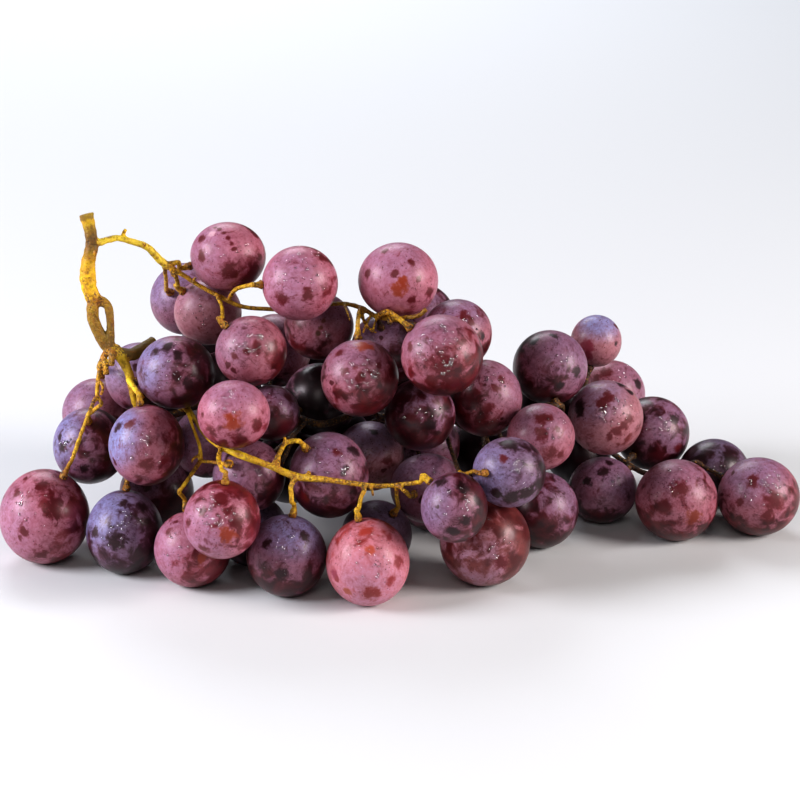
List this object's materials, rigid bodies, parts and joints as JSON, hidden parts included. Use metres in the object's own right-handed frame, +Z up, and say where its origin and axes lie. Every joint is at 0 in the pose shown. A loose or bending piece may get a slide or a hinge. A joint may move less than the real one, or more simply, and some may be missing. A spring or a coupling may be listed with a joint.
{
  "type": "bunch of grapes",
  "caption": "Bunch of large red table grapes lying on its side, with a forked golden stalk at one end and berries round its branches.",
  "frame": {"origin": "under the middle of the bunch's box, on the plane that it lies on", "axes": "+X along the bunch from the cut end of its stalk to its tip, +Z up, -Y the front that shows the branches"},
  "size_m": [0.2672, 0.1398, 0.1144],
  "materials": {
    "stalk": "golden yellow to olive brown, warty, dull",
    "skin_rose": "pink-red grape skin under a pale bloom of wax, satin",
    "skin_wine": "burgundy grape skin under a lilac bloom of wax, satin",
    "skin_plum": "dark purple-blue grape skin under a lilac bloom of wax, satin"
  },
  "bodies": {
    "root": {"stalk": "stalk", "berry_t1": "skin_rose", "berry_t2": "skin_rose", "berry_t3": "skin_wine", "berry_t4": "skin_wine", "berry_t5": "skin_wine", "berry_t6": "skin_wine", "berry_t7": "skin_wine", "berry_t7b": "skin_wine", "berry_t8": "skin_wine", "berry_t9a": "skin_wine", "berry_t9b": "skin_wine", "berry_t11": "skin_wine", "berry_d1": "skin_plum", "berry_d2": "skin_plum", "berry_d3": "skin_plum", "berry_l1": "skin_plum", "berry_l2": "skin_plum", "berry_l3": "skin_plum", "berry_l4": "skin_plum", "berry_l5": "skin_rose", "berry_f1": "skin_plum", "berry_f2": "skin_rose", "berry_f3": "skin_wine", "berry_f4": "skin_plum", "berry_f5": "skin_rose", "berry_f6": "skin_plum", "berry_f7": "skin_wine", "berry_m1": "skin_plum", "berry_m2": "skin_plum", "berry_m3": "skin_wine", "berry_m4": "skin_wine", "berry_m5": "skin_rose", "berry_m6": "skin_plum", "berry_m7": "skin_plum", "berry_r1": "skin_plum", "berry_r2": "skin_wine", "berry_r3": "skin_wine", "berry_r4": "skin_wine", "berry_r5": "skin_plum", "berry_r6": "skin_wine", "berry_r7": "skin_wine", "berry_r8": "skin_wine", "berry_r9": "skin_plum", "berry_r10": "skin_wine", "berry_r11": "skin_wine", "berry_r12": "skin_wine", "berry_x1": "skin_plum", "berry_x2": "skin_plum", "berry_x4": "skin_plum", "berry_x5": "skin_plum", "berry_x6": "skin_plum", "berry_x7": "skin_plum", "berry_x8": "skin_plum", "berry_g1": "skin_wine", "berry_g2": "skin_wine", "berry_g3": "skin_plum", "berry_g4": "skin_plum", "berry_g5": "skin_wine", "berry_g6": "skin_wine"}
  },
  "joints": []
}
